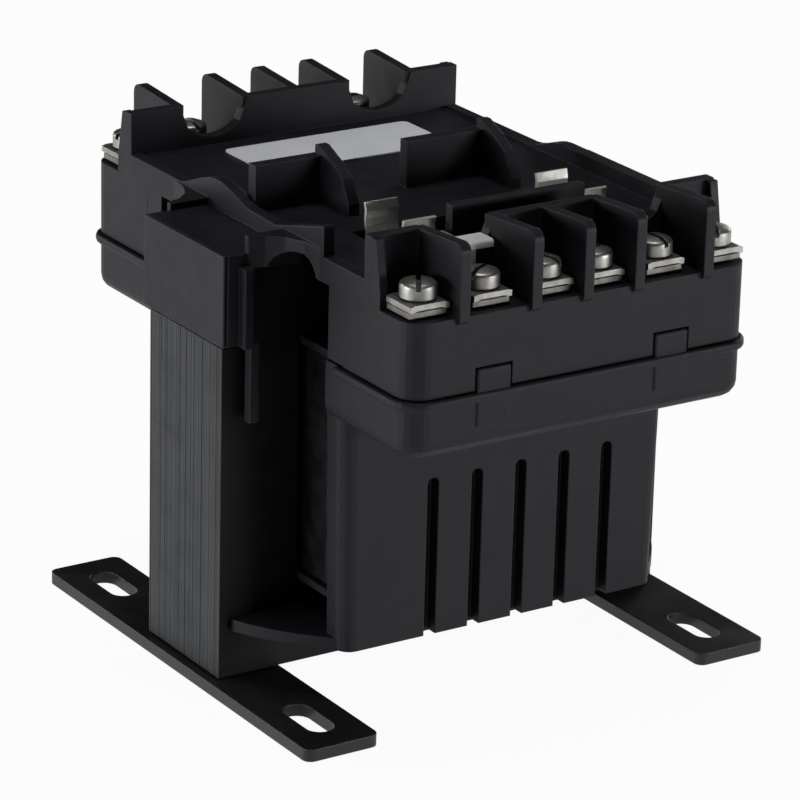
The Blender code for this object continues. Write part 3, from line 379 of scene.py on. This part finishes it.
def coil_tape(name):
    """Black film tape round the coil: glossy, with the edges of its turns and small wrinkles."""
    mat, tree, shader = new_material(name)
    place = position(tree)
    wrinkle = noise(tree, place, 300.0, 4.0)
    wave = node(tree, "ShaderNodeTexWave", bands_direction="Z", wave_profile="SAW",
                Scale=26.0, Distortion=0.6)
    tree.links.new(place, wave.inputs["Vector"])
    color = clouded(tree, wrinkle, *TAPE)
    tree.links.new(color, shader.inputs["Base Color"])
    tree.links.new(spread(tree, wrinkle, 0.28, 0.42), shader.inputs["Roughness"])
    normal = bump(tree, wave.outputs["Fac"], 0.12 * MM, 0.7)
    normal = bump(tree, wrinkle, 0.12 * MM, 0.4, normal)
    tree.links.new(normal, shader.inputs["Normal"])
    return mat


def label_film(name):
    """White satin label film, left blank."""
    mat, tree, shader = new_material(name)
    place = position(tree)
    cloud = noise(tree, place, 150.0, 3.0)
    fine = noise(tree, place, 3500.0, 2.0)
    normal = soft_edge(tree, 0.15 * MM)[0]
    color = clouded(tree, cloud, *LABEL_FILM)
    tree.links.new(color, shader.inputs["Base Color"])
    tree.links.new(spread(tree, cloud, 0.34, 0.44), shader.inputs["Roughness"])
    tree.links.new(bump(tree, fine, 0.01 * MM, 0.3, normal), shader.inputs["Normal"])
    return mat


# Pieces

def link(name, bm, mat, body):
    """Turn a bmesh into a piece that rides on a body."""
    bmesh.ops.recalc_face_normals(bm, faces=bm.faces)
    mesh = bpy.data.meshes.new(name)
    bm.to_mesh(mesh)
    bm.free()
    obj = bpy.data.objects.new(name, mesh)
    bpy.context.scene.collection.objects.link(obj)
    mesh.materials.append(mat)
    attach(obj, body)
    return obj


def temporary(name, bm):
    """A helper object that is removed again."""
    mesh = bpy.data.meshes.new(name)
    bm.to_mesh(mesh)
    bm.free()
    obj = bpy.data.objects.new(name, mesh)
    bpy.context.scene.collection.objects.link(obj)
    return obj


def smooth(obj):
    """Shade smooth, with edges over SMOOTH_ANGLE left sharp."""
    mesh = obj.data
    bm = bmesh.new()
    bm.from_mesh(mesh)
    for face in bm.faces:
        face.smooth = True
    for edge in bm.edges:
        edge.smooth = len(edge.link_faces) == 2 and edge.calc_face_angle(0.0) < math.radians(SMOOTH_ANGLE)
    bm.to_mesh(mesh)
    bm.free()


def lathe(bm, rings, radius_at):
    """Rings of vertices about the Z axis at given heights, joined and closed at both ends."""
    loops = []
    for k, z in enumerate(rings):
        loop = []
        for i in range(SCREW_SEGMENTS):
            turn = i / SCREW_SEGMENTS
            r = radius_at(k, z, turn)
            angle = 2.0 * math.pi * turn
            loop.append(bm.verts.new((r * math.cos(angle), r * math.sin(angle), z)))
        loops.append(loop)
    for low, high in zip(loops[:-1], loops[1:]):
        for i in range(SCREW_SEGMENTS):
            j = (i + 1) % SCREW_SEGMENTS
            bm.faces.new((low[i], low[j], high[j], high[i]))
    bm.faces.new(loops[0])
    bm.faces.new(loops[-1])


def screw_template(height, head):
    """Mesh of one screw standing on its end: threaded shank with a tapered tip, then the slotted head."""
    start = height - head
    step = THREAD_PITCH / THREAD_STEPS
    count = int((start - 2.0 * step) / step)
    rings = [k * step for k in range(count)]
    thread_rings = len(rings)
    rings += [start - step, start - step / 2.0, start, height - HEAD_CROWN - HEAD_ROUND]
    for i in range(1, HEAD_STEPS + 1):
        quarter = math.radians(90.0 * i / HEAD_STEPS)
        rings.append(height - HEAD_CROWN - HEAD_ROUND * (1.0 - math.sin(quarter)))
    rings.append(height)
    first_head = thread_rings + 2

    def radius_at(k, z, turn):
        if k < thread_rings:
            phase = (z / THREAD_PITCH - turn) % 1.0
            ridge = 1.0 - abs(2.0 * phase - 1.0)
            taper = min(1.0, TIP_SHARE + (1.0 - TIP_SHARE) * z / THREAD_PITCH)
            return SHANK_RADIUS * taper - THREAD_DEPTH * (1.0 - ridge)
        if k < first_head:
            return SHANK_RADIUS - THREAD_DEPTH
        if k <= first_head + 1:
            return HEAD_RADIUS
        if k == len(rings) - 1:
            return HEAD_RADIUS * CROWN_SHARE
        quarter = math.radians(90.0 * (k - first_head - 1) / HEAD_STEPS)
        return HEAD_RADIUS - HEAD_ROUND * (1.0 - math.cos(quarter))

    bm = bmesh.new()
    lathe(bm, rings, radius_at)
    bmesh.ops.recalc_face_normals(bm, faces=bm.faces)
    body = temporary("screw_form", bm)
    bm = bmesh.new()
    size = (4.0 * HEAD_RADIUS, SLOT_WIDTH, SLOT_DEPTH + CUT)
    middle = Matrix.Translation((0.0, 0.0, height - SLOT_DEPTH + (SLOT_DEPTH + CUT) / 2.0))
    bmesh.ops.create_cube(bm, size=1.0, matrix=middle @ Matrix.Diagonal((*size, 1.0)))
    cutter = temporary("slot_form", bm)
    cut = body.modifiers.new("slot", "BOOLEAN")
    cut.operation = "DIFFERENCE"
    cut.solver = "EXACT"
    cut.object = cutter
    graph = bpy.context.evaluated_depsgraph_get()
    mesh = bpy.data.meshes.new_from_object(body.evaluated_get(graph))
    bpy.data.objects.remove(body)
    bpy.data.objects.remove(cutter)
    return mesh


def build_screws(mat):
    """The twelve screws, each with its slot at another angle, as hand-driven screws stand."""
    low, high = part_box("screw_front_1")
    saddle_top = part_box("saddle_front_1")[1][2]
    template = screw_template(high[2] - low[2], high[2] - saddle_top - HEAD_GAP)
    turns = random.Random(DRAW_SEED)
    for row in ("front", "back"):
        for i in range(1, TERMINAL_COUNT + 1):
            name = "screw_%s_%d" % (row, i)
            low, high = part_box(name)
            middle = ((low[0] + high[0]) / 2.0, (low[1] + high[1]) / 2.0, low[2])
            turn = Matrix.Rotation(math.radians(turns.uniform(0.0, 180.0)), 4, "Z")
            bm = bmesh.new()
            bm.from_mesh(template)
            bmesh.ops.transform(bm, matrix=Matrix.Translation(middle) @ turn, verts=bm.verts)
            body = name.replace("screw_", "screw_body_")
            piece = link("slotted_" + name, bm, mat, body)
            smooth(piece)
            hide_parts(name)


def add_sheet(bm, outline, y0, y1):
    """One sheet with small chamfers along its outline, which has square corners and runs from X to Z."""
    count = len(outline)
    inward = []
    for i in range(count):
        before, here, after = outline[i - 1], outline[i], outline[(i + 1) % count]
        runs = ((here[0] - before[0], here[1] - before[1]), (after[0] - here[0], after[1] - here[1]))
        inward.append((-sum(math.copysign(1.0, b) for a, b in runs if abs(b) > abs(a)),
                       sum(math.copysign(1.0, a) for a, b in runs if abs(a) > abs(b))))
    loops = []
    for y, inset in ((y0, SHEET_EDGE), (y0 + SHEET_EDGE, 0.0), (y1 - SHEET_EDGE, 0.0), (y1, SHEET_EDGE)):
        loop = []
        for (x, z), (dx, dz) in zip(outline, inward):
            loop.append(bm.verts.new((x + inset * dx, y, z + inset * dz)))
        loops.append(loop)
    for low, high in zip(loops[:-1], loops[1:]):
        for i in range(count):
            j = (i + 1) % count
            bm.faces.new((low[i], low[j], high[j], high[i]))
    bm.faces.new(loops[0])
    bm.faces.new(loops[-1])


def sheet_outline(node_name, low, high):
    """Outline of an E or an I, as X and Z, in the proportions of a scrapless lamination."""
    x0, x1 = low[0], high[0]
    z0, z1 = low[2], high[2]
    if node_name == "core_i_stack":
        return [(x0, z0), (x1, z0), (x1, z1), (x0, z1)]
    leg = (x1 - x0) / LEGS_ACROSS
    base = z0 + leg
    return [(x0, z0), (x1, z0), (x1, z1), (x1 - leg, z1), (x1 - leg, base), (leg, base), (leg, z1),
            (-leg, z1), (-leg, base), (x0 + leg, base), (x0 + leg, z1), (x0, z1)]


def build_sheets(mat):
    """Both stacks of the core as single sheets, none quite in line with the next."""
    for node_name in ("core_e_stack", "core_i_stack"):
        low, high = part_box(node_name)
        shift = random.Random(DRAW_SEED)
        step = (high[1] - low[1]) / SHEET_COUNT
        bm = bmesh.new()
        for k in range(SHEET_COUNT):
            dx = shift.uniform(-SHEET_SHIFT, SHEET_SHIFT)
            dz = shift.uniform(0.0, SHEET_SHIFT)
            y0 = low[1] + k * step
            outline = [(x + dx, z + dz) for x, z in sheet_outline(node_name, low, high)]
            add_sheet(bm, outline, y0, y0 + step - SHEET_GAP)
        piece = link(node_name.replace("stack", "sheets"), bm, mat, "body")
        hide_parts(node_name)


def build_hood_skins(mat):
    """The end skin of each hood, flat against the hood and the core's end."""
    low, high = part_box("core_i_stack")
    sides = (("left", low[0] - SKIN_GAP, HOOD_LEFT_TOP), ("right", high[0] + SKIN_GAP, HOOD_RIGHT_TOP))
    for name, side, top in sides:
        outward = -SKIN_THICKNESS if name == "left" else SKIN_THICKNESS
        size = (SKIN_THICKNESS, high[1] - low[1] + 2.0 * HOOD_REACH, top - HOOD_BOTTOM)
        middle = (side + outward / 2.0, (low[1] + high[1]) / 2.0, (top + HOOD_BOTTOM) / 2.0)
        bm = bmesh.new()
        form = Matrix.Translation(middle) @ Matrix.Diagonal((*size, 1.0))
        bmesh.ops.create_cube(bm, size=1.0, matrix=form)
        bmesh.ops.bevel(bm, geom=bm.edges[:], offset=SKIN_EDGE, segments=2, profile=0.5, affect="EDGES")
        link("hood_skin_" + name, bm, mat, "body")


def build_cover(mat):
    """The cover of the left link: a strip with both long sides bent down onto the link."""
    y0, y1 = COVER_Y
    foot = COVER_TOP - COVER_THICKNESS - COVER_BEND
    outer = [(y0, foot)]
    inner = [(y0 + COVER_THICKNESS, foot)]
    cz = COVER_TOP - COVER_BEND
    for start, cy in ((180.0, y0 + COVER_BEND), (90.0, y1 - COVER_BEND)):
        for i in range(COVER_STEPS + 1):
            angle = math.radians(start - 90.0 * i / COVER_STEPS)
            for line, reach in ((outer, COVER_BEND), (inner, COVER_BEND - COVER_THICKNESS)):
                line.append((cy + reach * math.cos(angle), cz + reach * math.sin(angle)))
    outer.append((y1, foot))
    inner.append((y1 - COVER_THICKNESS, foot))
    outline = outer + inner[::-1]
    bm = bmesh.new()
    near = [bm.verts.new((COVER_X[0], y, z)) for y, z in outline]
    far = [bm.verts.new((COVER_X[1], y, z)) for y, z in outline]
    count = len(outline)
    for i in range(count):
        j = (i + 1) % count
        bm.faces.new((near[i], near[j], far[j], far[i]))
    half = len(outer)
    for side in (near, far):
        for i in range(half - 1):
            bm.faces.new((side[i], side[i + 1], side[count - 2 - i], side[count - 1 - i]))
    piece = link("link_cover_left", bm, mat, "body")
    smooth(piece)


def build_label(mat):
    """The blank label: a thin sheet with round corners, lying on the middle floor."""
    bm = bmesh.new()
    points = []
    corners = ((LABEL_X[0], LABEL_Y[0], 180.0), (LABEL_X[1], LABEL_Y[0], 270.0),
               (LABEL_X[1], LABEL_Y[1], 0.0), (LABEL_X[0], LABEL_Y[1], 90.0))
    for cx, cy, start in corners:
        mx = cx + LABEL_CORNER if cx == LABEL_X[0] else cx - LABEL_CORNER
        my = cy + LABEL_CORNER if cy == LABEL_Y[0] else cy - LABEL_CORNER
        for i in range(LABEL_STEPS + 1):
            angle = math.radians(start + 90.0 * i / LABEL_STEPS)
            points.append((mx + LABEL_CORNER * math.cos(angle), my + LABEL_CORNER * math.sin(angle)))
    low = [bm.verts.new((x, y, LABEL_Z + LABEL_LIFT)) for x, y in points]
    high = [bm.verts.new((x, y, LABEL_Z + LABEL_LIFT + LABEL_THICKNESS)) for x, y in points]
    bm.faces.new(low)
    bm.faces.new(high)
    count = len(points)
    for i in range(count):
        j = (i + 1) % count
        bm.faces.new((low[i], low[j], high[j], high[i]))
    link("label_blank", bm, mat, "body")


# Floor, light and camera

def build_floor():
    """A plain pale floor that shows white to the camera and keeps a soft shadow."""
    bm = bmesh.new()
    bmesh.ops.create_grid(bm, x_segments=1, y_segments=1, size=FLOOR_HALF)
    mesh = bpy.data.meshes.new("floor")
    bm.to_mesh(mesh)
    bm.free()
    obj = bpy.data.objects.new("floor", mesh)
    bpy.context.scene.collection.objects.link(obj)
    obj.location.z = -FLOOR_DROP
    mat, tree, shader = new_material("floor_pale")
    shader.inputs["Roughness"].default_value = FLOOR_ROUGHNESS
    shader.inputs["Base Color"].default_value = (FLOOR_GREY, FLOOR_GREY, FLOOR_GREY, 1.0)
    glow = node(tree, "ShaderNodeEmission", Strength=1.0)
    path = node(tree, "ShaderNodeLightPath")
    seen = math_node(tree, "MAXIMUM", mirrored_rays(tree, path), path.outputs["Is Camera Ray"])
    share = math_node(tree, "MULTIPLY", seen, FLOOR_SHOWN)
    blend = node(tree, "ShaderNodeMixShader")
    tree.links.new(share, blend.inputs["Fac"])
    tree.links.new(shader.outputs["BSDF"], blend.inputs[1])
    tree.links.new(glow.outputs["Emission"], blend.inputs[2])
    tree.links.new(blend.outputs["Shader"], tree.nodes["Material Output"].inputs["Surface"])
    mesh.materials.append(mat)


def mirrored_rays(tree, path):
    """1 for rays seen in metal or through glass."""
    return math_node(tree, "MAXIMUM", path.outputs["Is Glossy Ray"], path.outputs["Is Transmission Ray"])


def build_world():
    """White background, also low down in what mirrors it; a dim room above for everything else."""
    world = bpy.data.worlds.new("studio")
    bpy.context.scene.world = world
    world.use_nodes = True
    tree = world.node_tree
    back = tree.nodes["Background"]
    place = node(tree, "ShaderNodeTexCoord").outputs["Generated"]
    split = node(tree, "ShaderNodeSeparateXYZ")
    tree.links.new(place, split.inputs["Vector"])
    tone = remap(tree, split.outputs["Z"], *SKY_FADE, SKY_LOW, SKY_HIGH)
    path = node(tree, "ShaderNodeLightPath")
    low = remap(tree, split.outputs["Z"], *MIRROR_FADE, 1.0, SKY_LOW)
    mirrored = math_node(tree, "MULTIPLY", mirrored_rays(tree, path), low)
    share = math_node(tree, "MAXIMUM", tone, mirrored)
    share = math_node(tree, "MAXIMUM", share, path.outputs["Is Camera Ray"])
    tree.links.new(share, back.inputs["Strength"])


def area_light(name, place, size, power, target):
    """A soft lamp of some width and height, aimed at a point."""
    data = bpy.data.lights.new(name, "AREA")
    data.shape = "RECTANGLE"
    data.size = size[0]
    data.size_y = size[1]
    data.energy = power
    obj = bpy.data.objects.new(name, data)
    bpy.context.scene.collection.objects.link(obj)
    obj.location = place
    obj.rotation_euler = (Vector(target) - Vector(place)).to_track_quat("-Z", "Y").to_euler()


def build_camera():
    """The photograph's camera."""
    flat = math.cos(CAMERA_ELEVATION)
    toward = Vector((math.sin(CAMERA_AZIMUTH) * flat, -math.cos(CAMERA_AZIMUTH) * flat,
                     math.sin(CAMERA_ELEVATION)))
    place = Vector(CAMERA_TARGET) + toward * CAMERA_DISTANCE
    right = (-toward).cross(Vector((0.0, 0.0, 1.0))).normalized()
    up = right.cross(-toward)
    right_rolled = right * math.cos(CAMERA_ROLL) + up * math.sin(CAMERA_ROLL)
    up_rolled = up * math.cos(CAMERA_ROLL) - right * math.sin(CAMERA_ROLL)
    data = bpy.data.cameras.new("camera")
    data.lens = CAMERA_LENS
    data.sensor_width = SENSOR
    data.clip_start, data.clip_end = CAMERA_CLIP
    obj = bpy.data.objects.new("camera", data)
    matrix = Matrix((right_rolled, up_rolled, toward)).transposed().to_4x4()
    matrix.translation = place
    obj.matrix_world = matrix
    bpy.context.scene.collection.objects.link(obj)
    bpy.context.scene.camera = obj


def dress(materials, plate):
    """Give every CAD node the finish of its slot, and the terminal plates a darker copy of the tin, painted
    shade.
    """
    for node_name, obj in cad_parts.items():
        for slot in obj.material_slots:
            name = slot.material.name.split(".")[0]
            slot.material = plate if node_name.startswith("terminal_plate_") else materials[name]


def main():
    materials = {
        "black_thermoplastic": moulded_plastic("plastic", *PLASTIC, grain=0.02 * MM),
        "bobbin_nylon": moulded_plastic("nylon", *NYLON, grain=0.015 * MM),
        "strap_paint": painted_steel("strap_coat"),
        "core_varnish": varnished_core("core_sheets"),
        "copper_winding": copper_wire("winding_wire"),
        "black_tape": coil_tape("coil_film"),
        "plated_steel": plated_metal("zinc_plate", *ZINC, roughness=0.36),
        "tinned_brass": plated_metal("tin_plate", *TIN, roughness=0.40),
    }
    # The terminal plates take the darker copy of the tin: painted shade.
    dress(materials, plated_metal("plate_tin", *SHADED_TIN, roughness=0.42))
    build_screws(materials["plated_steel"])
    build_sheets(materials["core_varnish"])
    build_hood_skins(materials["black_thermoplastic"])
    build_cover(plated_metal("bright_plate", *BRIGHT_PLATE, roughness=0.45, metallic=0.25))
    build_label(label_film("label_film"))
    build_floor()
    build_world()
    for name, place, size, power in LAMPS:
        area_light(name, place, size, power, LAMP_AIM)
    build_camera()
    bpy.context.scene.view_settings.view_transform = "Standard"


main()
